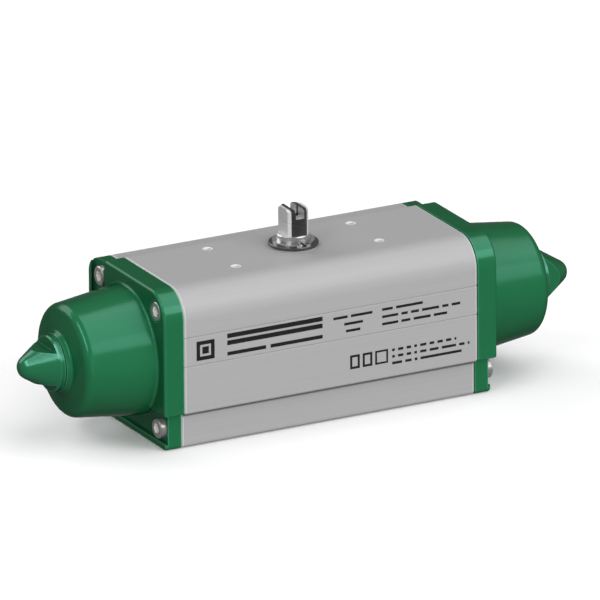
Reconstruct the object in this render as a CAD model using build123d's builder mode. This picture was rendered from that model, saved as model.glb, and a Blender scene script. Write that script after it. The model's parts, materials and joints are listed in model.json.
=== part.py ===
"""Spring-return rotary pneumatic actuator, rack and pinion, for valves with an ISO 5211 flange.

Millimetres. The origin is where the drive shaft's axis meets the bottom mounting face.
+Z runs up along the shaft, +X along the cylinder bore, and the near side faces -Y.
The pistons stand together (valve closed), and 90 degrees of shaft travel drive them apart.
"""
import math
import os

from build123d import *

# Extruded body: one profile, the same all along X
BODY_HALF = 82.0  # half length
NEAR_Y = -39.8  # near face
NEAR_LOW_Y = -36.3  # near face below the step
STEP_Z = 18.5  # height of that step
FAR_Y = 45.2  # far face
TOP_Z = 81.4
SHELF_Z = 78.1  # lower shelf along the far side
TOP_END_Y = 23.5  # where the top face ends
SHELF_START_Y = 29.5  # where the shelf begins
NEAR_TOP_R = 15.0
FAR_TOP_R = 8.5
GROOVE_Z = (43.0, 58.0)  # fine grooves along the near face
GROOVE_SIZE = 0.6
END_CHAMFER = 1.0

# Cylinder bore and the stations along it
BORE_Z = 42.5
BORE_R = 31.5
SCREW_MID_Z = 40.9
SCREW_SPAN = 60.8  # square pattern of the end cap screws

# End caps
PLATE_X = 92.75  # outer face of the thick plate
RIM_X = 90.9  # outer face of the raised rim
POCKET_X = 89.4  # floor of the pocket inside the rim
PLATE_FAR_Y = 25.0  # far edge of the thick plate
RIM_WIDTH = 3.4
DOME_BASE_R = 33.0
DOME_NOSE_R = 28.4
DOME_NOSE_X = 128.6
DOME_FRONT_X = 131.0
DOME_EDGE_R = 4.5
DOME_FOOT_R = 1.3  # fillet where the dome meets the plate
BOSS_R = 14.5
BOSS_X = 133.5
BOSS_FOOT = 1.2
CHAMBER_BASE_R = 28.6  # spring chamber inside the dome
CHAMBER_END_R = 24.2
SPRING_END_X = 121.5  # inner face of the dome's end wall
PLUG_SEAT_X = 128.5  # floor of the recess that takes the nose plug
PLUG_RECESS_R = 10.1

# Cap screws, M6 x 25 socket head
SCREW_R = 3.0
SCREW_HEAD_R = 5.0
SCREW_HEAD_H = 6.0
SCREW_LENGTH = 25.0
SCREW_SOCKET = 2.5  # half the hexagon's width across flats
SCREW_SEAT_X = PLATE_X - SCREW_HEAD_H

# Stop screw M8, its lock nut and the nose plug that covers them
STOP_SCREW_R = 4.0
STOP_SCREW_X = 80.4  # inner end, which limits the piston's travel
STOP_SCREW_LENGTH = 59.0
LOCK_NUT_FLAT = 6.5
LOCK_NUT_H = 5.0
PLUG_X = BOSS_X + 0.5  # the plug stands on its seal
PLUG_FLANGE_R = 14.3
PLUG_EDGE_X = 136.3  # front edge of the flange
NOSE_X = 137.0
NOSE_R = 13.8
NOSE_TAPER_X = 149.7
NOSE_TAPER_R = 5.7
NOSE_TIP_X = 153.0
PLUG_FLAT = 8.4  # half the width across the wrench flats
PLUG_SPIGOT_L = 4.0

# Rack and pinion
MODULE = 2.0
TEETH = 16
PITCH_R = MODULE * TEETH / 2
PRESSURE_ANGLE = math.radians(20)
RACK_ADDENDUM = 1.8
DEDENDUM = 2.5
BACKLASH = 0.2
PISTON_X = 41.0  # inner face of the piston head, pistons together
PISTON_T = 14.0
PISTON_R = 31.2
RACK_TIP_X = -40.5
RACK_HALF_H = 12.0
RACK_BACK_Y = -28.5

# Drive shaft
COLLAR_R = 18.6
COLLAR_GROOVE_R = 17.2  # groove of the bottom seal
COLLAR_GROOVE_Z = (2.2, 5.0)
PINION_Z = (12.5, 68.0)
JOURNAL_R = 10.0
JOURNAL_GROOVE_R = 8.8  # groove of the top seal
JOURNAL_GROOVE_Z = (74.6, 77.2)
JOURNAL_TOP_Z = TOP_Z - 0.2
NECK_R = 8.5
NECK_CHAMFER = 0.4
STEM_R = 7.65
STEM_FLAT = 5.75  # half the width across the two flats
STEM_Z = 87.9  # where the flats start
STEM_CHAMFER = 1.2
STEM_SLOT = 4.5  # indicator slot across the end
STEM_SLOT_DEPTH = 4.4
STEM_THREAD_R = 2.5  # tapping size of M6
STEM_THREAD_DEPTH = 22.0
SHAFT_TOP_Z = TOP_Z + 20.0
SHAFT_BOTTOM_Z = 0.6
DRIVE_SQUARE = 14.0
DRIVE_DEPTH = 16.0
BOTTOM_BORE_R = 20.0
TOP_BORE_R = 11.5
CIRCLIP_Z = 83.5  # underside of the circlip's groove
CIRCLIP_T = 1.1
CIRCLIP_GROOVE = 1.2
CIRCLIP_GROOVE_R = 7.8

bore_axis = Axis((0, 0, BORE_Z), (1, 0, 0))
# Sketch plane through the bore axis: sketch x is X, sketch y is the radius
axial = Plane(origin=(0, 0, BORE_Z), x_dir=(1, 0, 0), z_dir=(0, -1, 0))
os.makedirs("parts", exist_ok=True)


def save(piece, name):
    piece.part.label = name
    export_step(piece.part, f"parts/{name}.step")


def save_mirrored(piece, name):
    """Write the left-hand twin of a right-hand piece."""
    with BuildPart() as twin:
        mirror(piece.part, about=Plane.YZ)
    save(twin, name)


def across(x):
    """Plane square to the bore axis at x: sketch x is Y, sketch y is Z."""
    return Plane(origin=(x, 0, 0), x_dir=(0, 1, 0), z_dir=(1, 0, 0))


def on_bore(x):
    """The same plane with its origin on the bore axis."""
    return Plane(origin=(x, 0, BORE_Z), x_dir=(0, 1, 0), z_dir=(1, 0, 0))


def on_screws(x):
    """The same plane with its origin in the middle of the end cap screws."""
    return Plane(origin=(x, 0, SCREW_MID_Z), x_dir=(0, 1, 0), z_dir=(1, 0, 0))


def ring(plane, outer, inner, thickness):
    """Flat ring that stands on a plane."""
    with BuildPart() as part:
        with BuildSketch(plane):
            Circle(outer)
            Circle(inner, mode=Mode.SUBTRACT)
        extrude(amount=thickness)
    return part


def o_ring(plane, major, minor):
    with BuildPart() as part:
        with BuildSketch(Plane(plane.origin, x_dir=plane.z_dir, z_dir=plane.x_dir.cross(plane.z_dir))):
            with Locations((0, major)):
                Circle(minor)
        revolve(axis=Axis(plane.origin, plane.z_dir))
    return part


# ---------------------------------------------------------------- body profile
with BuildSketch() as body_profile:
    with BuildLine():
        Polyline(
            (NEAR_LOW_Y, 0),
            (FAR_Y, 0),
            (FAR_Y, SHELF_Z),
            (SHELF_START_Y, SHELF_Z),
            (TOP_END_Y, TOP_Z),
            (NEAR_Y, TOP_Z),
            (NEAR_Y, STEP_Z),
            (NEAR_LOW_Y, STEP_Z),
            close=True,
        )
    make_face()
    corner_radii = {
        (NEAR_LOW_Y, 0): 2.0,
        (FAR_Y, 0): 3.0,
        (FAR_Y, SHELF_Z): FAR_TOP_R,
        (SHELF_START_Y, SHELF_Z): 3.0,
        (TOP_END_Y, TOP_Z): 3.0,
        (NEAR_Y, TOP_Z): NEAR_TOP_R,
        (NEAR_Y, STEP_Z): 1.0,
        (NEAR_LOW_Y, STEP_Z): 1.0,
    }
    for corner, radius in corner_radii.items():
        fillet(body_profile.vertices().sort_by_distance((*corner, 0))[0], radius)

# ------------------------------------------------------------------------ body
GALLERY = (39.0, 60.0)  # air gallery to the end chambers, as Y and Z
PORT_R = 5.9  # G1/4 air ports on the far face
PORT_SPAN = 24.0
PORT_DEPTH = 10.0
M5_TAP_R = 2.1
M6_TAP_R = 2.5
M8_TAP_R = 3.4
GALLERY_R = 2.5
with BuildPart() as body:
    with BuildSketch(across(-BODY_HALF)):
        add(body_profile.sketch)
        with Locations(*[(NEAR_Y, z) for z in GROOVE_Z]):
            Rectangle(GROOVE_SIZE, GROOVE_SIZE, rotation=45, mode=Mode.SUBTRACT)
    extrude(amount=2 * BODY_HALF)
    chamfer(body.faces().filter_by(Axis.X).edges(), END_CHAMFER)
    with BuildSketch(on_bore(-BODY_HALF)):
        Circle(BORE_R)
    extrude(amount=2 * BODY_HALF, mode=Mode.SUBTRACT)
    with BuildSketch(Plane.XY):
        Circle(BOTTOM_BORE_R)
    extrude(amount=BORE_Z, mode=Mode.SUBTRACT)
    with BuildSketch(Plane.XY.offset(BORE_Z)):
        Circle(TOP_BORE_R)
    extrude(amount=TOP_Z - BORE_Z, mode=Mode.SUBTRACT)
    # accessory holes on top: M5 on 80 x 30
    with Locations(Plane.XY.offset(TOP_Z)):
        with GridLocations(80, 30, 2, 2):
            Hole(radius=M5_TAP_R, depth=8)
    # valve flange underneath: M6 on a 50 circle, M8 on a 70 circle
    with Locations(Plane(origin=(0, 0, 0), z_dir=(0, 0, -1))):
        with PolarLocations(25, 4, start_angle=45):
            Hole(radius=M6_TAP_R, depth=12)
        with PolarLocations(35, 4, start_angle=45):
            Hole(radius=M8_TAP_R, depth=14)
    # solenoid valve interface on the far face: two ports, M5 on 32 x 24
    with Locations(Plane(origin=(0, FAR_Y, BORE_Z), x_dir=(1, 0, 0), z_dir=(0, 1, 0))):
        with GridLocations(PORT_SPAN, 0, 2, 1):
            Hole(radius=PORT_R, depth=PORT_DEPTH)
        with GridLocations(32, 24, 2, 2):
            Hole(radius=M5_TAP_R, depth=9)
        with Locations((-PORT_SPAN / 2, 0)):
            Hole(radius=GALLERY_R, depth=FAR_Y)
    # gallery from the second port to both end chambers
    with BuildSketch(across(-BODY_HALF)):
        with Locations(GALLERY):
            Circle(GALLERY_R)
    extrude(amount=2 * BODY_HALF, mode=Mode.SUBTRACT)
    with BuildSketch(Plane(origin=(PORT_SPAN / 2, GALLERY[0], BORE_Z))):
        Circle(GALLERY_R - 0.3)
    extrude(amount=GALLERY[1] - BORE_Z, mode=Mode.SUBTRACT)
    # tapped holes for the end cap screws
    for side in (-1, 1):
        with BuildSketch(on_screws(side * BODY_HALF)):
            with GridLocations(SCREW_SPAN, SCREW_SPAN, 2, 2):
                Circle(SCREW_R + 0.05)
        extrude(amount=-side * 22, mode=Mode.SUBTRACT)
save(body, "body")

# --------------------------------------------------------------------- end cap
SEAL_GROOVE = (36.2, 33.8, 2.2)  # outer radius, inner radius and depth
GALLERY_SEAL_R = 4.6  # recess around the gallery
GALLERY_SEAL_DEPTH = 1.3
PASSAGE_X = BODY_HALF + 3.6  # passage from the gallery to the spring chamber
BIG = 100.0  # reaches past every edge of the profile
with BuildPart() as right_end_cap:
    # flange with its raised rim, then the pocket inside the rim
    with BuildSketch(across(BODY_HALF)):
        add(body_profile.sketch)
    extrude(amount=RIM_X - BODY_HALF)
    fillet(right_end_cap.faces().sort_by(Axis.X)[-1].outer_wire().edges(), 0.9)
    with BuildSketch(across(RIM_X)) as pocket:
        with Locations((FAR_Y - RIM_WIDTH, RIM_WIDTH)):
            Rectangle(BIG, BIG, align=(Align.MAX, Align.MIN))
        fillet(pocket.vertices().sort_by_distance((FAR_Y, 0, 0))[0], 7.0)
    extrude(amount=POCKET_X - RIM_X, taper=-40, mode=Mode.SUBTRACT)
    # thick plate
    with BuildSketch(across(BODY_HALF)) as plate:
        add(body_profile.sketch)
        with Locations((PLATE_FAR_Y, STEP_Z)):
            Rectangle(BIG, BIG, align=(Align.MAX, Align.MIN), mode=Mode.INTERSECT)
        fillet(plate.vertices().sort_by_distance((PLATE_FAR_Y, STEP_Z, 0))[0], 6.0)
    extrude(amount=PLATE_X - BODY_HALF)
    fillet(right_end_cap.faces().sort_by(Axis.X)[-1].outer_wire().edges(), 1.3)
    # dome and its end boss
    with BuildSketch(axial) as dome:
        with BuildLine():
            Polyline(
                (BODY_HALF, 0),
                (BODY_HALF, DOME_BASE_R),
                (PLATE_X, DOME_BASE_R),
                (DOME_NOSE_X, DOME_NOSE_R),
                (DOME_FRONT_X, BOSS_R + BOSS_FOOT),
                (BOSS_X, BOSS_R),
                (BOSS_X, 0),
                close=True,
            )
        make_face()
        fillet(dome.vertices().sort_by_distance((DOME_NOSE_X, DOME_NOSE_R, 0))[0], DOME_EDGE_R)
        fillet(dome.vertices().sort_by_distance((DOME_FRONT_X, BOSS_R + BOSS_FOOT, 0))[0], BOSS_FOOT)
    revolve(axis=bore_axis)
    dome_foot = [
        edge
        for edge in right_end_cap.edges().filter_by(GeomType.CIRCLE)
        if abs(edge.radius - DOME_BASE_R) < 0.01 and edge.center().X > PLATE_X - 1
    ]
    fillet(dome_foot, DOME_FOOT_R)
    # spring chamber inside, plug recess and stop screw thread
    with BuildSketch(axial) as chamber:
        with BuildLine():
            Polyline(
                (BODY_HALF, 0),
                (BODY_HALF, CHAMBER_BASE_R),
                (SPRING_END_X, CHAMBER_END_R),
                (SPRING_END_X, 0),
                close=True,
            )
        make_face()
        fillet(chamber.vertices().sort_by_distance((SPRING_END_X, CHAMBER_END_R, 0))[0], 2.0)
    revolve(axis=bore_axis, mode=Mode.SUBTRACT)
    with BuildSketch(on_bore(PLUG_SEAT_X)):
        Circle(PLUG_RECESS_R)
    extrude(amount=BOSS_X - PLUG_SEAT_X, mode=Mode.SUBTRACT)
    with BuildSketch(on_bore(SPRING_END_X)):
        Circle(STOP_SCREW_R + 0.05)
    extrude(amount=PLUG_SEAT_X - SPRING_END_X, mode=Mode.SUBTRACT)
    # screw holes with counterbores
    with BuildSketch(on_screws(BODY_HALF)):
        with GridLocations(SCREW_SPAN, SCREW_SPAN, 2, 2):
            Circle(SCREW_R + 0.3)
    extrude(amount=PLATE_X - BODY_HALF, mode=Mode.SUBTRACT)
    with BuildSketch(on_screws(SCREW_SEAT_X)):
        with GridLocations(SCREW_SPAN, SCREW_SPAN, 2, 2):
            Circle(SCREW_HEAD_R + 0.3)
    extrude(amount=SCREW_HEAD_H + 1, mode=Mode.SUBTRACT)
    # seal grooves on the inner face and the air passage to the spring chamber
    with BuildSketch(on_bore(BODY_HALF)):
        Circle(SEAL_GROOVE[0])
        Circle(SEAL_GROOVE[1], mode=Mode.SUBTRACT)
    extrude(amount=SEAL_GROOVE[2], mode=Mode.SUBTRACT)
    with BuildSketch(across(BODY_HALF)):
        with Locations(GALLERY):
            Circle(GALLERY_SEAL_R)
    extrude(amount=GALLERY_SEAL_DEPTH, mode=Mode.SUBTRACT)
    with BuildSketch(across(BODY_HALF)):
        with Locations(GALLERY):
            Circle(1.5)
    extrude(amount=PASSAGE_X - BODY_HALF + 0.9, mode=Mode.SUBTRACT)
    with BuildSketch(Plane(origin=(PASSAGE_X, *GALLERY), x_dir=(1, 0, 0), z_dir=(0, -1, 0))):
        Circle(1.2)
    extrude(amount=GALLERY[0] / 2, mode=Mode.SUBTRACT)
save(right_end_cap, "right_end_cap")
save_mirrored(right_end_cap, "left_end_cap")

# Socket head screws that hold the caps
with BuildPart() as right_cap_screws:
    with BuildSketch(on_screws(SCREW_SEAT_X)):
        with GridLocations(SCREW_SPAN, SCREW_SPAN, 2, 2):
            Circle(SCREW_HEAD_R)
    extrude(amount=SCREW_HEAD_H)
    chamfer(right_cap_screws.faces().group_by(Axis.X)[-1].edges(), 0.5)
    with BuildSketch(on_screws(SCREW_SEAT_X)):
        with GridLocations(SCREW_SPAN, SCREW_SPAN, 2, 2):
            Circle(SCREW_R)
    extrude(amount=-SCREW_LENGTH)
    with BuildSketch(on_screws(SCREW_SEAT_X + SCREW_HEAD_H)):
        with GridLocations(SCREW_SPAN, SCREW_SPAN, 2, 2):
            RegularPolygon(SCREW_SOCKET, 6, major_radius=False)
    extrude(amount=-SCREW_HEAD_H / 2, mode=Mode.SUBTRACT)
save(right_cap_screws, "right_cap_screws")
save_mirrored(right_cap_screws, "left_cap_screws")

seal_major = (SEAL_GROOVE[0] + SEAL_GROOVE[1]) / 2
right_cap_seal = o_ring(on_bore(BODY_HALF + SEAL_GROOVE[2] / 2), seal_major, SEAL_GROOVE[2] / 2)
save(right_cap_seal, "right_cap_seal")
save_mirrored(right_cap_seal, "left_cap_seal")

GALLERY_RING_R = GALLERY_SEAL_DEPTH / 2
gallery_plane = Plane(origin=(BODY_HALF + GALLERY_RING_R, *GALLERY), x_dir=(0, 1, 0), z_dir=(1, 0, 0))
right_gallery_seal = o_ring(gallery_plane, GALLERY_SEAL_R - 1, GALLERY_RING_R)
save(right_gallery_seal, "right_gallery_seal")
save_mirrored(right_gallery_seal, "left_gallery_seal")

# ------------------------------------------------- stop screw, nut, nose plug
with BuildPart() as right_stop_screw:
    with BuildSketch(on_bore(STOP_SCREW_X)):
        Circle(STOP_SCREW_R)
    extrude(amount=STOP_SCREW_LENGTH)
    chamfer(right_stop_screw.faces().filter_by(Axis.X).edges(), 0.8)
    with BuildSketch(on_bore(STOP_SCREW_X + STOP_SCREW_LENGTH)):
        RegularPolygon(2, 6, major_radius=False)
    extrude(amount=-4, mode=Mode.SUBTRACT)
save(right_stop_screw, "right_stop_screw")
save_mirrored(right_stop_screw, "left_stop_screw")

with BuildPart() as right_lock_nut:
    with BuildSketch(on_bore(PLUG_SEAT_X)):
        RegularPolygon(LOCK_NUT_FLAT, 6, major_radius=False)
        Circle(STOP_SCREW_R + 0.05, mode=Mode.SUBTRACT)
    extrude(amount=LOCK_NUT_H)
save(right_lock_nut, "right_lock_nut")
save_mirrored(right_lock_nut, "left_lock_nut")

with BuildPart() as right_nose_plug:
    with BuildSketch(axial):
        with BuildLine():
            Polyline(
                (NOSE_TIP_X, 0),
                (PLUG_X, 0),
                (PLUG_X, PLUG_FLANGE_R),
                (PLUG_EDGE_X, PLUG_FLANGE_R),
                (NOSE_X, NOSE_R),
                (NOSE_TAPER_X, NOSE_TAPER_R),
            )
            taper = (NOSE_TAPER_X - NOSE_X, NOSE_TAPER_R - NOSE_R)
            Spline((NOSE_TAPER_X, NOSE_TAPER_R), (NOSE_TIP_X, 0), tangents=(taper, (0, -1)))
        make_face()
    revolve(axis=bore_axis)
    with BuildSketch(on_bore(PLUG_X)):
        Circle(PLUG_RECESS_R - 0.1)
    extrude(amount=-PLUG_SPIGOT_L)
    # two wrench flats on the nose
    for side in (-1, 1):
        with BuildSketch(on_bore(NOSE_X)):
            with Locations((side * (PLUG_FLAT + NOSE_R / 2), 0)):
                Rectangle(NOSE_R, 2 * NOSE_R)
        extrude(amount=NOSE_TIP_X - NOSE_X, mode=Mode.SUBTRACT)
    # room inside for the lock nut and the end of the stop screw
    with BuildSketch(on_bore(PLUG_X - PLUG_SPIGOT_L)):
        Circle(8)
    extrude(amount=PLUG_SPIGOT_L + 2.5, mode=Mode.SUBTRACT)
    with BuildSketch(on_bore(PLUG_X)):
        Circle(STOP_SCREW_R + 1)
    extrude(amount=9, mode=Mode.SUBTRACT)
save(right_nose_plug, "right_nose_plug")
# the left plug has come to rest a quarter turn from the right one
with BuildPart() as left_nose_plug:
    add(right_nose_plug.part.rotate(Axis.Z, 180).rotate(bore_axis, 90))
save(left_nose_plug, "left_nose_plug")

right_plug_seal = ring(on_bore(BOSS_X), PLUG_FLANGE_R - 0.4, PLUG_RECESS_R + 0.1, PLUG_X - BOSS_X)
save(right_plug_seal, "right_plug_seal")
save_mirrored(right_plug_seal, "left_plug_seal")

# ---------------------------------------------------------------- rack pistons
SPRING_POCKET = 4.0
SEAL_X = PISTON_X + 7.0  # seal groove
SEAL_WIDTH = 3.4
SEAL_FLOOR_R = 28.6
BAND_X = PISTON_X + 1.6  # guide band groove
BAND_WIDTH = 4.2
BAND_FLOOR_R = 30.0
RACK_PITCH = math.pi * MODULE
RACK_TEETH = range(-6, 2)
PAD_X = (-30.0, -4.0)
PAD_WIDTH = 16.0


def rack_tooth(centre_x):
    """Outline of one rack tooth, its centre at centre_x and its tip towards the shaft."""
    half_pitch = RACK_PITCH / 4 - BACKLASH / 4
    half_tip = half_pitch - RACK_ADDENDUM * math.tan(PRESSURE_ANGLE)
    half_root = half_pitch + DEDENDUM * math.tan(PRESSURE_ANGLE)
    root_y = -PITCH_R - DEDENDUM
    tip_y = -PITCH_R + RACK_ADDENDUM
    Polyline(
        (centre_x - half_root, root_y - 0.5),
        (centre_x - half_root, root_y),
        (centre_x - half_tip, tip_y),
        (centre_x + half_tip, tip_y),
        (centre_x + half_root, root_y),
        (centre_x + half_root, root_y - 0.5),
        close=True,
    )


with BuildPart() as right_piston:
    with BuildSketch(on_bore(PISTON_X)):
        Circle(PISTON_R)
    extrude(amount=PISTON_T)
    chamfer(right_piston.edges(), 0.6)
    # spring pocket around the stop boss
    with BuildSketch(on_bore(PISTON_X + PISTON_T)):
        Circle(PISTON_R - 7.2)
        Circle(9, mode=Mode.SUBTRACT)
    extrude(amount=-SPRING_POCKET, mode=Mode.SUBTRACT)
    # seal groove and guide band groove
    piston_grooves = (
        (SEAL_X, SEAL_WIDTH, SEAL_FLOOR_R),
        (BAND_X, BAND_WIDTH, BAND_FLOOR_R),
    )
    for groove_x, width, floor_r in piston_grooves:
        with BuildSketch(on_bore(groove_x)):
            Circle(PISTON_R + 1)
            Circle(floor_r, mode=Mode.SUBTRACT)
        extrude(amount=width, mode=Mode.SUBTRACT)
    # rack arm and its teeth
    with BuildSketch(Plane.XY.offset(BORE_Z - RACK_HALF_H)):
        arm_length = PISTON_X + 1 - RACK_TIP_X
        arm_depth = -PITCH_R - DEDENDUM - RACK_BACK_Y
        with Locations((RACK_TIP_X, RACK_BACK_Y)):
            Rectangle(arm_length, arm_depth, align=(Align.MIN, Align.MIN))
    extrude(amount=2 * RACK_HALF_H)
    chamfer(right_piston.faces().sort_by(Axis.X)[0].edges(), 0.8)
    with BuildSketch(Plane.XY.offset(BORE_Z - RACK_HALF_H)):
        for tooth in RACK_TEETH:
            with BuildLine():
                rack_tooth((tooth + 0.5) * RACK_PITCH)
            make_face()
    extrude(amount=2 * RACK_HALF_H)
save(right_piston, "right_piston")

# Slipper pad on the rack's back, shaped to the bore
with BuildPart() as right_rack_pad:
    with BuildSketch(on_bore(PAD_X[0])):
        Circle(BORE_R - 0.15)
        with Locations((RACK_BACK_Y, 0)):
            Rectangle(PAD_WIDTH, PAD_WIDTH, align=(Align.MAX, Align.CENTER), mode=Mode.INTERSECT)
    extrude(amount=PAD_X[1] - PAD_X[0])
save(right_rack_pad, "right_rack_pad")

piston_seal_r = (BORE_R - 0.2 - SEAL_FLOOR_R) / 2
right_piston_seal = o_ring(on_bore(SEAL_X + SEAL_WIDTH / 2), SEAL_FLOOR_R + piston_seal_r, piston_seal_r)
save(right_piston_seal, "right_piston_seal")
right_guide_band = ring(on_bore(BAND_X + 0.1), BORE_R - 0.1, BAND_FLOOR_R + 0.05, BAND_WIDTH - 0.2)
save(right_guide_band, "right_guide_band")

right_pieces = {
    "piston": right_piston,
    "rack_pad": right_rack_pad,
    "piston_seal": right_piston_seal,
    "guide_band": right_guide_band,
}
for name, piece in right_pieces.items():
    with BuildPart() as left_piece:
        add(piece.part.rotate(Axis.Z, 180))
    save(left_piece, f"left_{name}")

# ----------------------------------------------------------------- springs
SEAT_T = 2.0
spring_start = PISTON_X + PISTON_T - SPRING_POCKET + 0.3
spring_end = SPRING_END_X - SEAT_T - 0.3


def coil_spring(coil_r, wire_r, turns):
    """Compression spring between the piston and its seat."""
    length = spring_end - spring_start - 2 * wire_r
    start = (spring_start + wire_r, 0, BORE_Z)
    with BuildPart() as part:
        with BuildLine():
            coil = Helix(length / turns, length, coil_r, center=start, direction=(1, 0, 0))
        with BuildSketch(Plane(origin=coil @ 0, z_dir=coil % 0)):
            Circle(wire_r)
        sweep(path=coil, is_frenet=True)
    return part


right_outer_spring = coil_spring(20.3, 2.0, 7.5)
save(right_outer_spring, "right_outer_spring")
save_mirrored(right_outer_spring, "left_outer_spring")
right_inner_spring = coil_spring(13.2, 1.5, 8.5)
save(right_inner_spring, "right_inner_spring")
save_mirrored(right_inner_spring, "left_inner_spring")

with BuildPart() as right_spring_seat:
    with BuildSketch(on_bore(SPRING_END_X)):
        Circle(22.0)
        Circle(5.0, mode=Mode.SUBTRACT)
    extrude(amount=-SEAT_T)
    with BuildSketch(on_bore(SPRING_END_X - SEAT_T)):
        Circle(18.0)
        Circle(15.0, mode=Mode.SUBTRACT)
    extrude(amount=-3)
save(right_spring_seat, "right_spring_seat")
save_mirrored(right_spring_seat, "left_spring_seat")

# ----------------------------------------------------------------- drive shaft


def involute(angle):
    return math.tan(angle) - angle


def pinion_flank(steps):
    """Radius and half angle of the tooth at points from the base circle to the tip."""
    base_r = PITCH_R * math.cos(PRESSURE_ANGLE)
    tip_r = PITCH_R + MODULE
    half_at_pitch = math.pi / (2 * TEETH) - BACKLASH / (4 * PITCH_R)
    points = []
    for step in range(steps + 1):
        radius = base_r + (tip_r - base_r) * step / steps
        roll = involute(math.acos(base_r / radius))
        points.append((radius, half_at_pitch + involute(PRESSURE_ANGLE) - roll))
    return points


def polar(radius, angle):
    return (radius * math.cos(angle), radius * math.sin(angle))


PINION_ROOT_R = PITCH_R - DEDENDUM
with BuildPart() as pinion_shaft:
    with BuildSketch(Plane.XZ):
        with BuildLine():
            Polyline(
                (0, SHAFT_BOTTOM_Z),
                (COLLAR_R, SHAFT_BOTTOM_Z),
                (COLLAR_R, COLLAR_GROOVE_Z[0]),
                (COLLAR_GROOVE_R, COLLAR_GROOVE_Z[0]),
                (COLLAR_GROOVE_R, COLLAR_GROOVE_Z[1]),
                (COLLAR_R, COLLAR_GROOVE_Z[1]),
                (COLLAR_R, PINION_Z[0]),
                (PINION_ROOT_R, PINION_Z[0]),
                (PINION_ROOT_R, PINION_Z[1]),
                (JOURNAL_R, PINION_Z[1]),
                (JOURNAL_R, JOURNAL_GROOVE_Z[0]),
                (JOURNAL_GROOVE_R, JOURNAL_GROOVE_Z[0]),
                (JOURNAL_GROOVE_R, JOURNAL_GROOVE_Z[1]),
                (JOURNAL_R, JOURNAL_GROOVE_Z[1]),
                (JOURNAL_R, JOURNAL_TOP_Z),
                (NECK_R, JOURNAL_TOP_Z),
                (NECK_R, CIRCLIP_Z),
                (CIRCLIP_GROOVE_R, CIRCLIP_Z),
                (CIRCLIP_GROOVE_R, CIRCLIP_Z + CIRCLIP_GROOVE),
                (NECK_R, CIRCLIP_Z + CIRCLIP_GROOVE),
                (NECK_R, STEM_Z - NECK_CHAMFER),
                (NECK_R - NECK_CHAMFER, STEM_Z),
                (STEM_R, STEM_Z),
                (STEM_R, SHAFT_TOP_Z - STEM_CHAMFER),
                (STEM_R - STEM_CHAMFER, SHAFT_TOP_Z),
                (0, SHAFT_TOP_Z),
                close=True,
            )
        make_face()
    revolve(axis=Axis.Z)
    # pinion teeth, one of them pointing at -Y
    flank = pinion_flank(4)
    with BuildSketch(Plane.XY.offset(PINION_Z[0])):
        with PolarLocations(0, TEETH, start_angle=-90):
            with BuildLine():
                right_side = [polar(r, -half) for r, half in flank]
                left_side = [polar(r, half) for r, half in reversed(flank)]
                foot = polar(PINION_ROOT_R - 0.5, flank[0][1])
                Polyline((foot[0], -foot[1]), *right_side, *left_side, foot, close=True)
            make_face()
    extrude(amount=PINION_Z[1] - PINION_Z[0])
    # two flats on the stem, indicator slot along Y and the thread in its end
    for side in (-1, 1):
        with BuildSketch(Plane.XY.offset(STEM_Z)):
            with Locations((side * (STEM_FLAT + 5), 0)):
                Rectangle(10, 30)
        extrude(amount=SHAFT_TOP_Z - STEM_Z, mode=Mode.SUBTRACT)
    with BuildSketch(Plane.XY.offset(SHAFT_TOP_Z - STEM_SLOT_DEPTH)):
        Rectangle(STEM_SLOT, 3 * STEM_R)
    extrude(amount=STEM_SLOT_DEPTH, mode=Mode.SUBTRACT)
    with Locations((0, 0, SHAFT_TOP_Z)):
        Hole(radius=STEM_THREAD_R, depth=STEM_THREAD_DEPTH)
    # double square drive in the bottom end
    with BuildSketch(Plane.XY.offset(SHAFT_BOTTOM_Z)):
        Rectangle(DRIVE_SQUARE, DRIVE_SQUARE)
        Rectangle(DRIVE_SQUARE, DRIVE_SQUARE, rotation=45)
    extrude(amount=DRIVE_DEPTH, mode=Mode.SUBTRACT)
save(pinion_shaft, "pinion_shaft")

# Bushes, seals and thrust bearing of the shaft
BUSH_PLAY = 0.05  # radial clearance of a bush on its journal and in its seat
BOTTOM_BUSH_H = 5.4
TOP_BUSH_H = 3.6
SEAL_RUN = 0.2  # radial clearance of a shaft seal in its bore


def shaft_bush(groove_z, journal_r, bore_r, height):
    """Plain bush between journal and bore, just above the seal's groove."""
    return ring(Plane.XY.offset(groove_z[1] + 0.4), bore_r - BUSH_PLAY, journal_r + BUSH_PLAY, height)


bottom_shaft_bush = shaft_bush(COLLAR_GROOVE_Z, COLLAR_R, BOTTOM_BORE_R, BOTTOM_BUSH_H)
save(bottom_shaft_bush, "bottom_shaft_bush")
top_shaft_bush = shaft_bush(JOURNAL_GROOVE_Z, JOURNAL_R, TOP_BORE_R, TOP_BUSH_H)
save(top_shaft_bush, "top_shaft_bush")


def shaft_seal(groove_z, groove_r, bore_r):
    """O-ring that sits on the groove floor and runs in the bore."""
    minor = (bore_r - SEAL_RUN - groove_r) / 2
    return o_ring(Plane.XY.offset(sum(groove_z) / 2), groove_r + minor, minor)


bottom_shaft_seal = shaft_seal(COLLAR_GROOVE_Z, COLLAR_GROOVE_R, BOTTOM_BORE_R)
save(bottom_shaft_seal, "bottom_shaft_seal")
top_shaft_seal = shaft_seal(JOURNAL_GROOVE_Z, JOURNAL_GROOVE_R, TOP_BORE_R)
save(top_shaft_seal, "top_shaft_seal")

THRUST_T = 0.5
WASHER_R = 12.5
WASHER_Z = TOP_Z + THRUST_T + 0.05
thrust_bearing = ring(Plane.XY.offset(TOP_Z), WASHER_R - 0.2, NECK_R + 0.3, THRUST_T)
save(thrust_bearing, "thrust_bearing")

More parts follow.
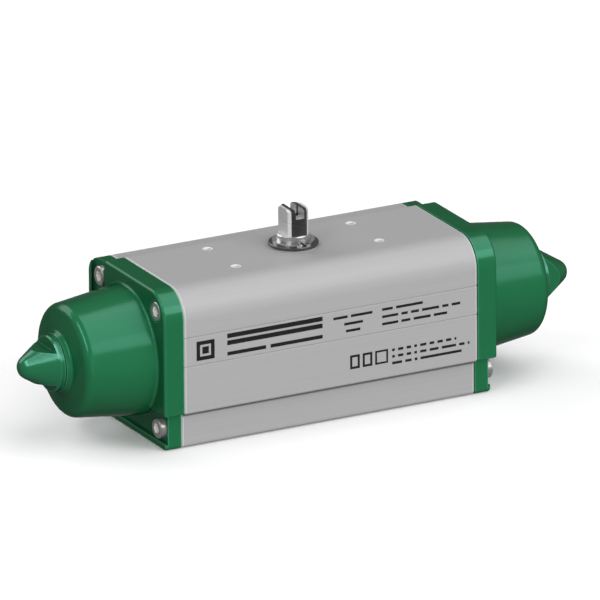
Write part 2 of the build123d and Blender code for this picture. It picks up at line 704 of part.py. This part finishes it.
with BuildPart() as thrust_washer:
    with BuildSketch(Plane.XY.offset(WASHER_Z)):
        Circle(WASHER_R)
        Circle(NECK_R + 0.1, mode=Mode.SUBTRACT)
    extrude(amount=CIRCLIP_Z - WASHER_Z)
    chamfer(thrust_washer.faces().sort_by(Axis.Z)[-1].edges(), 0.25)
save(thrust_washer, "thrust_washer")

CIRCLIP_R = 10.6
LUG_R = 10.5  # where the circlip's plier holes lie
with BuildPart() as shaft_circlip:
    with BuildSketch(Plane.XY.offset(CIRCLIP_Z + (CIRCLIP_GROOVE - CIRCLIP_T) / 2)):
        Circle(CIRCLIP_R)
        with PolarLocations(LUG_R, 2, start_angle=-102, angular_range=24, endpoint=True):
            Circle(1.9)
        Circle(CIRCLIP_GROOVE_R + 0.1, mode=Mode.SUBTRACT)
        with Locations((0, -10)):
            Rectangle(2.2, 8, mode=Mode.SUBTRACT)
        with PolarLocations(LUG_R, 2, start_angle=-102, angular_range=24, endpoint=True):
            Circle(0.9, mode=Mode.SUBTRACT)
    extrude(amount=CIRCLIP_T)
save(shaft_circlip, "shaft_circlip")
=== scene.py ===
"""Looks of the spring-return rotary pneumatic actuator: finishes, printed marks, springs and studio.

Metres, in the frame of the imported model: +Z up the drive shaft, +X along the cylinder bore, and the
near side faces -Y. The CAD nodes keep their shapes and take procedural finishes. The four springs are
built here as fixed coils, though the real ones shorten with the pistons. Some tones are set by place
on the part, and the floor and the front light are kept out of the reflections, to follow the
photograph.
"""
import json
import math

import bmesh
import bpy
from mathutils import Euler, Matrix, Vector


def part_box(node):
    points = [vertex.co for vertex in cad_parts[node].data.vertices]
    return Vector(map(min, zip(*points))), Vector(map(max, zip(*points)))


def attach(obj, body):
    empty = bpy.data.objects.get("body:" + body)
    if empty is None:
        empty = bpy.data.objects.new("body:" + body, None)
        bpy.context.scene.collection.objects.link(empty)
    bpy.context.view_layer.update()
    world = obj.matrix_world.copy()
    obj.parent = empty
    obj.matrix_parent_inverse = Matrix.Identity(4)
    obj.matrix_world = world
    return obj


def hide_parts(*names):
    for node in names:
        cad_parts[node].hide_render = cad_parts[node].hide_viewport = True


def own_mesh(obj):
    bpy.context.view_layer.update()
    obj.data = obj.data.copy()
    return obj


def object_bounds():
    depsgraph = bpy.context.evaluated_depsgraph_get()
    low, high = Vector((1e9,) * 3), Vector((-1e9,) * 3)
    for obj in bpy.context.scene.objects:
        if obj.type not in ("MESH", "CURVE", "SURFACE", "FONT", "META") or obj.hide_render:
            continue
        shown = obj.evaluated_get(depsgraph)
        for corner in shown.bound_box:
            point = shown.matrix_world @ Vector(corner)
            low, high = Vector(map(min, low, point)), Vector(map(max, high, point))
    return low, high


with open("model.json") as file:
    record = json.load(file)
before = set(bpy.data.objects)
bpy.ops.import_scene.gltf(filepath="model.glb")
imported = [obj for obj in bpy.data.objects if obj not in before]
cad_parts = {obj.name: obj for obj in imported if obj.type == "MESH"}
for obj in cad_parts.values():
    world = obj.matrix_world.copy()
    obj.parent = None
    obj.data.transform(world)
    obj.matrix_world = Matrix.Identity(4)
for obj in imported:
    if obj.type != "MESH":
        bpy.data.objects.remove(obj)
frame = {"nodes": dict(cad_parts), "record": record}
nodes = frame["nodes"]
cad_low, cad_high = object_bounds()

MM = 0.001
body_low, body_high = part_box("body")
stem_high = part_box("pinion_shaft")[1]
seat_low, seat_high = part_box("right_spring_seat")
bore_z = (seat_low.z + seat_high.z) / 2
screw_low, screw_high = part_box("right_cap_screws")

# features of the CAD model that the finishes follow
TOP_HOLE_X = 40 * MM
TOP_HOLE_Y = 15 * MM
TOP_HOLE_R = 2.5 * MM
TOP_HOLE_DEPTH = 14 * MM
STEP_Z = 18.5 * MM  # the body's near face is set back below this
STEP_NEAR_Y = -36 * MM
END_BAND = 1.35 * MM
SCREW_OFFSET = 30.4 * MM
HEX_SOCKET_R = 2.92 * MM
STEM_FLAT_X = 5.72 * MM
STEM_CORNER_X = 4.3 * MM
STEM_FLAT_LENGTH = 13.6 * MM
SLOT_HALF_WIDTH = 2.3 * MM
SLOT_DEPTH = 4.5 * MM


# ------------------------------------------------------------------ material building blocks
class Finish:
    """A Principled material with short helpers for its procedural inputs."""

    def __init__(self, name, colour, metallic, roughness, **sockets):
        self.material = bpy.data.materials.new(name)
        self.material.use_nodes = True
        self.tree = self.material.node_tree
        self.shader = self.tree.nodes["Principled BSDF"]
        self.coords = self.tree.nodes.new("ShaderNodeTexCoord").outputs["Object"]
        self.shader.inputs["Base Color"].default_value = (*colour, 1)
        self.shader.inputs["Metallic"].default_value = metallic
        self.shader.inputs["Roughness"].default_value = roughness
        for socket, value in sockets.items():
            self.shader.inputs[socket.replace("_", " ")].default_value = value

    def link(self, output, target):
        self.tree.links.new(output, target)

    def set_input(self, target, value):
        """Link an output to a socket, or write a plain value to it."""
        if isinstance(value, bpy.types.NodeSocket):
            self.link(value, target)
        else:
            target.default_value = value

    def math(self, operation, *values):
        node = self.tree.nodes.new("ShaderNodeMath")
        node.operation = operation
        for target, value in zip(node.inputs, values):
            self.set_input(target, value)
        return node.outputs[0]

    def axis(self, name):
        split = self.tree.nodes.new("ShaderNodeSeparateXYZ")
        self.link(self.coords, split.inputs[0])
        return split.outputs[name]

    def noise(self, size, stretch=(1, 1, 1), detail=3.0):
        """Noise whose features are about size across, stretched along the axes."""
        mapping = self.tree.nodes.new("ShaderNodeMapping")
        mapping.inputs["Scale"].default_value = [1 / (size * s) for s in stretch]
        self.link(self.coords, mapping.inputs["Vector"])
        node = self.tree.nodes.new("ShaderNodeTexNoise")
        node.inputs["Scale"].default_value = 1.0
        node.inputs["Detail"].default_value = detail
        self.link(mapping.outputs[0], node.inputs["Vector"])
        return node.outputs["Fac"]

    def ramp(self, value, source, target):
        """Map the source range of a value to the target range, clamped at both ends."""
        node = self.tree.nodes.new("ShaderNodeMapRange")
        self.link(value, node.inputs["Value"])
        node.inputs["From Min"].default_value, node.inputs["From Max"].default_value = source
        node.inputs["To Min"].default_value, node.inputs["To Max"].default_value = target
        return node.outputs[0]

    def spread(self, noise, low, high):
        """Map noise, which lies mostly from 0.3 to 0.7, to the range low to high."""
        return self.ramp(noise, (0.3, 0.7), (low, high))

    def step(self, value, threshold, soft):
        """0 below the threshold and 1 above it, with a short ramp between."""
        return self.ramp(value, (threshold - soft, threshold + soft), (0, 1))

    def mix(self, factor, first, second):
        """Colour between first and second."""
        node = self.tree.nodes.new("ShaderNodeMix")
        node.data_type = "RGBA"
        self.link(factor, node.inputs["Factor"])
        colours = [socket for socket in node.inputs if socket.type == "RGBA"]
        for target, value in zip(colours, (first, second)):
            self.set_input(target, value if isinstance(value, bpy.types.NodeSocket) else (*value, 1))
        return next(socket for socket in node.outputs if socket.type == "RGBA")

    def colour(self, output):
        self.link(output, self.shader.inputs["Base Color"])

    def roughness(self, output):
        self.link(output, self.shader.inputs["Roughness"])

    def metallic(self, output):
        self.link(output, self.shader.inputs["Metallic"])

    def bump(self, height, depth, strength=1.0):
        node = self.tree.nodes.new("ShaderNodeBump")
        node.inputs["Strength"].default_value = strength
        node.inputs["Distance"].default_value = depth
        self.link(height, node.inputs["Height"])
        self.link(node.outputs[0], self.shader.inputs["Normal"])


def shade(colour, factor):
    return tuple(channel * factor for channel in colour)


def edge_light(finish, reach):
    """1 on a convex edge and 0 on a flat face, from the geometry within reach."""
    bevel = finish.tree.nodes.new("ShaderNodeBevel")
    bevel.inputs["Radius"].default_value = reach
    geometry = finish.tree.nodes.new("ShaderNodeNewGeometry")
    dot = finish.tree.nodes.new("ShaderNodeVectorMath")
    dot.operation = "DOT_PRODUCT"
    finish.link(bevel.outputs[0], dot.inputs[0])
    finish.link(geometry.outputs["Normal"], dot.inputs[1])
    return finish.math("SUBTRACT", 1.0, dot.outputs["Value"])


# ------------------------------------------------------------------ finishes
ANODISED = (0.315, 0.315, 0.32)
BARE_ALUMINIUM_PAINTED_LIGHT = (0.75, 0.76, 0.74)
PAINT = (0.010, 0.115, 0.042)


def near_four(finish, first, second, offset_1, offset_2, radius, centre_2=0.0):
    """1 within radius of four parallel lines, mirrored about zero and about centre_2."""
    shifted = finish.math("SUBTRACT", finish.axis(second), centre_2)
    d1 = finish.math("SUBTRACT", finish.math("ABSOLUTE", finish.axis(first)), offset_1)
    d2 = finish.math("SUBTRACT", finish.math("ABSOLUTE", shifted), offset_2)
    square = finish.math("ADD", finish.math("MULTIPLY", d1, d1), finish.math("MULTIPLY", d2, d2))
    return finish.math("LESS_THAN", square, radius * radius)


def anodised_aluminium():
    """Bead-blasted, anodised extrusion, with bare metal where it is cut afterwards, its bright tone
    partly painted light, and a painted shade line under the step.
    """
    finish = Finish("anodised_aluminium", ANODISED, 0.0, 0.42)
    grain = finish.noise(0.35 * MM)
    lines = finish.noise(0.5 * MM, (160, 1, 1), 2.0)
    clouds = finish.noise(45 * MM)
    tone = finish.mix(finish.spread(lines, 0.0, 1.0), shade(ANODISED, 0.97), shade(ANODISED, 1.03))
    tone = finish.mix(finish.spread(clouds, 0.0, 0.5), tone, shade(ANODISED, 1.02))
    tone = finish.mix(finish.spread(grain, 0.0, 0.25), tone, shade(ANODISED, 0.90))
    # machined after anodising: both ends, and the tapped holes in the top; their bright tone is also
    # painted light, a highlight line along each end and light inside the holes
    across = finish.math("ABSOLUTE", finish.axis("X"))
    end = finish.step(across, body_high.x - END_BAND, 0.1 * MM)
    in_top = finish.math("GREATER_THAN", finish.axis("Z"), body_high.z - TOP_HOLE_DEPTH)
    hole = near_four(finish, "X", "Y", TOP_HOLE_X, TOP_HOLE_Y, TOP_HOLE_R)
    tone = finish.mix(end, tone, shade(BARE_ALUMINIUM_PAINTED_LIGHT, 0.60))
    tone = finish.mix(finish.math("MULTIPLY", hole, in_top), tone, BARE_ALUMINIUM_PAINTED_LIGHT)
    # painted shade: a dark line in the corner under the step of the near face, where a shadow falls
    height = finish.math("SUBTRACT", finish.axis("Z"), STEP_Z)
    above_line = finish.step(height, -2.0 * MM, 0.35 * MM)
    below_step = finish.math("LESS_THAN", height, 0.1 * MM)
    near = finish.math("LESS_THAN", finish.axis("Y"), STEP_NEAR_Y)
    line = finish.math("MULTIPLY", finish.math("MULTIPLY", above_line, below_step), near)
    finish.colour(finish.mix(line, tone, shade(ANODISED, 0.3)))
    finish.roughness(finish.spread(grain, 0.38, 0.5))
    blasting = finish.math("MULTIPLY", grain, 0.6)
    relief = finish.math("ADD", blasting, finish.math("MULTIPLY", lines, 0.4))
    finish.bump(relief, 0.02 * MM, 0.35)
    return finish.material


def green_coating(name, roughness, ior):
    """Glossy polyester coating with a fine orange peel, and a painted highlight on sharp edges.

    Seen at a slant its colour is darkened as painted shade, and it reflects less than a real lacquer,
    to keep its outline dark.
    """
    finish = Finish(name, PAINT, 0.0, roughness, Specular_Tint=(0.36, 0.95, 0.80, 1.0))
    peel = finish.noise(1.6 * MM, detail=1.5)
    clouds = finish.noise(30 * MM)
    tone = finish.mix(finish.spread(clouds, 0.0, 1.0), shade(PAINT, 0.95), shade(PAINT, 1.05))
    # painted highlight: lighter green on convex edges and fillets
    edge = finish.math("MINIMUM", finish.math("MULTIPLY", edge_light(finish, 1.2 * MM), 2.5), 1.0)
    tone = finish.mix(edge, tone, (0.07, 0.34, 0.20))
    weight = finish.tree.nodes.new("ShaderNodeLayerWeight")
    weight.inputs["Blend"].default_value = 0.5
    slant = weight.outputs["Facing"]
    shadow = finish.math("MULTIPLY", finish.math("POWER", slant, 2.0), 0.8)
    finish.colour(finish.mix(shadow, tone, (0.0, 0.010, 0.004)))
    finish.link(finish.ramp(slant, (0.25, 0.62), (ior, 1.10)), finish.shader.inputs["IOR"])
    finish.roughness(finish.spread(peel, roughness - 0.03, roughness + 0.03))
    finish.bump(peel, 0.03 * MM, 0.25)
    return finish.material


def metal(name, colour, roughness, size, stretch=(1, 1, 1), depth=0.01, metallic=1.0):
    """Plain metal with fine machining marks of the given size."""
    finish = Finish(name, colour, metallic, roughness)
    marks = finish.noise(size, stretch)
    stain = finish.noise(6 * MM)
    tone = finish.mix(finish.spread(marks, 0.0, 1.0), shade(colour, 0.92), shade(colour, 1.06))
    finish.colour(finish.mix(finish.spread(stain, 0.0, 0.35), tone, shade(colour, 0.8)))
    finish.roughness(finish.spread(marks, roughness - 0.05, roughness + 0.07))
    finish.bump(marks, depth * MM, 0.4)
    return finish.material


def screw_steel():
    """Zinc plated heads, with painted light in the hex sockets, which are coloured bright."""
    finish = Finish("zinc_plated_steel", (0.5, 0.5, 0.49), 0.7, 0.34)
    marks = finish.noise(0.4 * MM)
    stain = finish.noise(6 * MM)
    tone = finish.mix(finish.spread(marks, 0.0, 1.0), (0.36, 0.35, 0.34), (0.44, 0.43, 0.42))
    tone = finish.mix(finish.spread(stain, 0.0, 0.35), tone, (0.28, 0.27, 0.26))
    across = finish.math("ABSOLUTE", finish.axis("X"))
    below_face = finish.math("LESS_THAN", across, screw_high.x - 0.1 * MM)
    middle = (screw_low.z + screw_high.z) / 2
    # painted light: the recess of each hex socket is coloured bright where shade would fall
    socket = near_four(finish, "Y", "Z", SCREW_OFFSET, SCREW_OFFSET, HEX_SOCKET_R, middle)
    socket = finish.math("MULTIPLY", socket, below_face)
    finish.colour(finish.mix(socket, tone, (0.80, 0.79, 0.77)))
    finish.metallic(finish.math("SUBTRACT", 0.75, finish.math("MULTIPLY", socket, 0.55)))
    finish.roughness(finish.spread(marks, 0.28, 0.42))
    finish.bump(marks, 0.01 * MM, 0.4)
    return finish.material


def shaft_steel():
    """Turned steel in dark tones, with painted light: pale flats made by milling, a highlight strip
    beside each flat, bright steel below the flats and a bright slot.
    """
    finish = Finish("turned_steel", (0.3, 0.3, 0.3), 1.0, 0.3)
    turning = finish.noise(0.12 * MM, (60, 60, 1), 2.0)
    milling = finish.noise(0.15 * MM, (1, 1, 40), 2.0)
    across = finish.math("ABSOLUTE", finish.axis("X"))
    height = finish.math("SUBTRACT", finish.axis("Z"), stem_high.z)
    above = finish.math("GREATER_THAN", height, -STEM_FLAT_LENGTH)
    neck = finish.math("LESS_THAN", height, 0.2 * MM - STEM_FLAT_LENGTH)
    flat = finish.math("MULTIPLY", finish.step(across, STEM_FLAT_X, 0.01 * MM), above)
    corner = finish.math("MULTIPLY", finish.step(across, STEM_CORNER_X, 0.05 * MM), above)
    in_slot = finish.math("GREATER_THAN", height, -SLOT_DEPTH)
    slot = finish.math("MULTIPLY", finish.math("LESS_THAN", across, SLOT_HALF_WIDTH), in_slot)
    turned_tones = (0.10, 0.10, 0.10), (0.15, 0.15, 0.15)
    milled_flat_reflection_tones = (0.48, 0.48, 0.475), (0.57, 0.57, 0.565)
    tone = finish.mix(finish.spread(turning, 0.0, 1.0), *turned_tones)
    # painted highlight: a bright strip along the edge of each flat
    tone = finish.mix(corner, tone, (0.66, 0.66, 0.65))
    # painted highlight: bright steel below the flats
    tone = finish.mix(neck, tone, (0.55, 0.55, 0.54))
    # painted reflection: the flats, made by milling, are coloured pale
    tone = finish.mix(flat, tone, finish.mix(finish.spread(milling, 0.0, 1.0), *milled_flat_reflection_tones))
    # painted light: the slot and its tapped hole are coloured bright where shade would fall
    finish.colour(finish.mix(slot, tone, (0.42, 0.42, 0.415)))
    machined_slot_and_highlight_strip = finish.math("MAXIMUM", slot, corner)
    finish.metallic(finish.math("SUBTRACT", 1.0, finish.math("MULTIPLY", machined_slot_and_highlight_strip, 0.6)))
    finish.roughness(finish.spread(turning, 0.24, 0.38))
    finish.bump(turning, 0.01 * MM, 0.3)
    return finish.material


def matt_rubber():
    finish = Finish("black_rubber", (0.012, 0.012, 0.013), 0.0, 0.55)
    grain = finish.noise(0.4 * MM)
    tones = (0.009, 0.009, 0.010), (0.018, 0.018, 0.018)
    finish.colour(finish.mix(finish.spread(grain, 0.0, 1.0), *tones))
    finish.roughness(finish.spread(grain, 0.48, 0.62))
    finish.bump(grain, 0.02 * MM, 0.4)
    return finish.material


def moulded_acetal():
    finish = Finish("grey_acetal", (0.30, 0.30, 0.29), 0.0, 0.4)
    flow = finish.noise(5 * MM)
    finish.colour(finish.mix(finish.spread(flow, 0.0, 1.0), (0.27, 0.27, 0.26), (0.32, 0.32, 0.31)))
    finish.roughness(finish.spread(flow, 0.34, 0.46))
    finish.bump(finish.noise(0.5 * MM), 0.01 * MM, 0.3)
    return finish.material


def printing_ink():
    finish = Finish("printing_ink", (0.010, 0.010, 0.011), 0.0, 0.5, Specular_IOR_Level=0.15)
    mottle = finish.noise(0.8 * MM)
    tones = (0.007, 0.007, 0.008), (0.016, 0.016, 0.016)
    finish.colour(finish.mix(finish.spread(mottle, 0.0, 1.0), *tones))
    finish.roughness(finish.spread(mottle, 0.42, 0.58))
    return finish.material


finishes = {
    "anodised_body": anodised_aluminium(),
    "green_paint": green_coating("green_coating", 0.19, 1.58),
    "green_plug": green_coating("green_moulding", 0.21, 1.85),
    "zinc_steel": screw_steel(),
    "black_rubber": matt_rubber(),
    "cast_piston": metal("cast_aluminium", (0.55, 0.55, 0.55), 0.45, 1.2 * MM, depth=0.05),
    "acetal": moulded_acetal(),
    "spring_steel": metal("spring_steel", (0.20, 0.20, 0.21), 0.38, 0.5 * MM),
    "pressed_steel": metal("pressed_steel", (0.45, 0.45, 0.45), 0.36, 0.6 * MM),
    "shaft_steel": shaft_steel(),
    "washer_steel": metal("oiled_steel", (0.14, 0.14, 0.14), 0.34, 0.3 * MM),
    "clip_steel": metal("bright_steel", (0.72, 0.72, 0.71), 0.22, 0.3 * MM),
}
for subpart in frame["record"]["subparts"]:
    for slot in nodes[subpart["node"]].material_slots:
        slot.material = finishes[subpart["material_slot"]]


# ------------------------------------------------------------------ mesh helpers
def add_object(name, mesh, finish, body="housing"):
    piece = bpy.data.objects.new(name, mesh)
    bpy.context.scene.collection.objects.link(piece)
    mesh.materials.append(finish)
    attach(piece, body)
    return piece


# ------------------------------------------------------------------ springs
def spring_mesh(name, coil_r, wire_r, turns, start_x, end_x, side):
    """Compression spring along X with closed ends, as a swept ring of vertices."""
    around = 14
    per_turn = 40
    closed = 0.9  # turns that lie flat at each end
    steps = int(turns * per_turn)
    lead = 2.0 * wire_r * 1.04
    free = turns - 2 * closed
    climb = (end_x - start_x - 2 * wire_r - 2 * closed * lead) / free
    mesh = bpy.data.meshes.new(name)
    shape = bmesh.new()
    rings = []
    for step in range(steps + 1):
        turn = turns * step / steps
        flat = min(turn, closed) + max(0.0, turn - (turns - closed))
        x = start_x + wire_r + flat * lead + (turn - flat) * climb
        angle = 2 * math.pi * turn
        outward = Vector((0, math.cos(angle), math.sin(angle)))
        centre = outward * coil_r + Vector((x, 0, bore_z))
        ring = []
        for k in range(around):
            tilt = 2 * math.pi * k / around
            on_wire = math.cos(tilt) * outward + math.sin(tilt) * Vector((1, 0, 0))
            point = centre + wire_r * on_wire
            ring.append(shape.verts.new((side * point.x, point.y, point.z)))
        rings.append(ring)
    for first, second in zip(rings, rings[1:]):
        for k in range(around):
            shape.faces.new((first[k], first[k - 1], second[k - 1], second[k]))
    shape.faces.new(rings[0])
    shape.faces.new(reversed(rings[-1]))
    bmesh.ops.recalc_face_normals(shape, faces=shape.faces)
    shape.to_mesh(mesh)
    shape.free()
    mesh.polygons.foreach_set("use_smooth", [len(p.vertices) == 4 for p in mesh.polygons])
    return mesh


SPRINGS = (  # name, coil radius, wire radius, turns
    ("outer", 20.3 * MM, 2.0 * MM, 7.5),
    ("inner", 13.2 * MM, 1.5 * MM, 8.5),
)
for side, hand in ((1, "right"), (-1, "left")):
    for kind, coil_r, wire_r, turns in SPRINGS:
        node = f"{hand}_{kind}_spring"
        low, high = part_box(node)
        near_end = min(abs(low.x), abs(high.x))
        far_end = max(abs(low.x), abs(high.x))
        mesh = spring_mesh(f"{node}_coil", coil_r, wire_r, turns, near_end, far_end, side)
        spring = add_object(f"{node}_coil", mesh, finishes["spring_steel"])
        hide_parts(node)
        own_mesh(spring)


# ------------------------------------------------------------------ printed marks
INK_T = 0.015 * MM
print_face_y = body_low.y


def add_bar(shape, x, z, width, height):
    """Thin bar of ink on the near face, its lower left corner at x, z."""
    corners = [(x, z), (x + width, z), (x + width, z + height), (x, z + height)]
    front = [shape.verts.new((cx, print_face_y - INK_T, cz)) for cx, cz in corners]
    back = [shape.verts.new((cx, print_face_y + INK_T, cz)) for cx, cz in corners]
    shape.faces.new(front)
    shape.faces.new(reversed(back))
    for k in range(4):
        shape.faces.new((front[k - 1], front[k], back[k], back[k - 1]))


def add_frame(shape, x, z, width, height, line):
    """Outlined rectangle of ink."""
    add_bar(shape, x, z, width, line)
    add_bar(shape, x, z + height - line, width, line)
    add_bar(shape, x, z + line, line, height - 2 * line)
    add_bar(shape, x + width - line, z + line, line, height - 2 * line)


def add_dashes(shape, x, z, height, lengths, gap):
    """Line of plain dashes, which stands for a line of print."""
    for length in lengths:
        add_bar(shape, x, z, length, height)
        x += length + gap


def printed_marks():
    """Generic marks in the places of the maker's printing, with no lettering."""
    shape = bmesh.new()
    add_frame(shape, -75 * MM, 45.4 * MM, 10 * MM, 10 * MM, 2.0 * MM)
    add_bar(shape, -71.8 * MM, 48.6 * MM, 3.6 * MM, 3.6 * MM)
    for row in range(2):
        add_bar(shape, -58 * MM, (50.8 + 3.6 * row) * MM, 53 * MM, 2.4 * MM)
    add_dashes(shape, -58 * MM, 45.4 * MM, 1.9 * MM, [21.5 * MM, 29 * MM], 2.5 * MM)
    small = 1.35 * MM
    gap = 1.8 * MM
    lines = (  # left end, lower edge and dash lengths, in millimetres
        (1.0, 53.7, (8.0, 12.0)),
        (7.0, 49.9, (10.5,)),
        (8.0, 46.2, (8.0,)),
        (28.2, 54.0, (6.0, 15.0)),
        (28.2, 50.2, (9.0, 3.5, 4.5, 9.5, 3.5, 4.8)),
        (28.2, 46.4, (9.0, 5.0, 9.5, 7.5)),
        (33.7, 32.0, (1.5, 3.0, 2.5, 1.5, 3.5, 2.6, 3.0, 3.0, 1.0)),
        (33.7, 28.6, (1.5, 3.0, 2.5, 1.5, 3.5, 5.0, 8.0, 3.0, 1.0)),
        (33.7, 25.1, (5.5, 3.5, 1.5, 23.0)),
    )
    for x, z, lengths in lines:
        add_dashes(shape, x * MM, z * MM, small, [length * MM for length in lengths], gap)
    add_frame(shape, 10.2 * MM, 26.5 * MM, 5.4 * MM, 7.2 * MM, 1.2 * MM)
    add_frame(shape, 17.2 * MM, 26.5 * MM, 5.4 * MM, 7.2 * MM, 1.2 * MM)
    add_frame(shape, 24.2 * MM, 26.5 * MM, 7.2 * MM, 7.2 * MM, 1.0 * MM)
    bmesh.ops.recalc_face_normals(shape, faces=shape.faces)
    mesh = bpy.data.meshes.new("printed_marks")
    shape.to_mesh(mesh)
    shape.free()
    add_object("printed_marks", mesh, printing_ink())


printed_marks()


# ------------------------------------------------------------------ studio
def add_floor():
    mesh = bpy.data.meshes.new("floor")
    half = 6.0
    corners = [(-half, -half, 0), (half, -half, 0), (half, half, 0), (-half, half, 0)]
    mesh.from_pydata(corners, [], [(0, 1, 2, 3)])
    floor = bpy.data.objects.new("floor", mesh)
    bpy.context.scene.collection.objects.link(floor)
    finish = Finish("pale_floor", (0.96, 0.96, 0.96), 0.0, 0.9)
    tones = (0.95, 0.95, 0.95), (0.97, 0.97, 0.97)
    finish.colour(finish.mix(finish.spread(finish.noise(0.4), 0.0, 1.0), *tones))
    mesh.materials.append(finish.material)
    floor.location.z = cad_low.z - 0.0002
    # the photograph shows no light from below, so the floor only catches the shadow
    floor.visible_diffuse = False
    floor.visible_glossy = False


def add_light(name, direction, distance, irradiance, size, length, along):
    """Soft area light that faces the middle of the object, its long side along a vector.

    irradiance is what it adds to the brightness of a white surface square to it.
    """
    lamp = bpy.data.lights.new(name, "AREA")
    lamp.shape = "RECTANGLE"
    lamp.size = size
    lamp.size_y = length
    lamp.energy = irradiance * (math.pi * distance) ** 2
    light = bpy.data.objects.new(name, lamp)
    bpy.context.scene.collection.objects.link(light)
    towards = Vector(direction).normalized()
    side = Vector(along).cross(towards).normalized()
    light.location = Vector((0, 0, bore_z)) + towards * distance
    light.rotation_euler = Matrix((side, towards.cross(side), towards)).transposed().to_euler()
    return light


def add_world(strength):
    world = bpy.data.worlds.new("studio")
    bpy.context.scene.world = world
    world.use_nodes = True
    background = world.node_tree.nodes["Background"]
    background.inputs["Color"].default_value = (1, 1, 1, 1)
    background.inputs["Strength"].default_value = strength


def add_camera():
    """Long lens, at the reference view's angle: 27.7 degrees to the left and 19.3 degrees above."""
    azimuth = math.radians(-27.733)
    elevation = math.radians(19.2505)
    roll = math.radians(-0.42404)
    distance = 8.276
    aim = Vector((0.0045, 0.0020, 0.0510))
    data = bpy.data.cameras.new("camera")
    data.lens = 1004.1
    data.sensor_width = 36.0
    camera = bpy.data.objects.new("camera", data)
    bpy.context.scene.collection.objects.link(camera)
    back = Vector((math.sin(azimuth) * math.cos(elevation), -math.cos(azimuth) * math.cos(elevation),
                   math.sin(elevation)))
    camera.location = aim + back * distance
    turn = Euler((math.pi / 2 - elevation, 0, azimuth)).to_quaternion()
    camera.rotation_mode = "QUATERNION"
    camera.rotation_quaternion = turn @ Euler((0, 0, roll)).to_quaternion()
    bpy.context.scene.camera = camera


add_floor()
add_light("key", (0.42, -0.20, 0.87), 3.2, 0.50, 2.2, 3.6, (0, 0.89, 0.30))
add_light("strip", (0.42, -0.74, 0.51), 3.2, 0.26, 2.0, 1.3, (0, 0.57, 0.82))
add_light("left_strip", (-0.70, -0.25, 0.66), 3.2, 0.34, 0.6, 3.0, (0.15, 0.8, 0.4))
add_light("rim", (-0.36, 0.76, 0.54), 3.0, 0.46, 1.8, 2.6, (0.83, 0, 0.55))
fill = add_light("front_fill", (-0.20, -1.0, 0.0), 3.0, 1.56, 2.0, 2.0, (0, 0, 1))
fill.visible_glossy = False
add_world(0.25)
add_camera()
bpy.context.scene.view_settings.view_transform = "Standard"
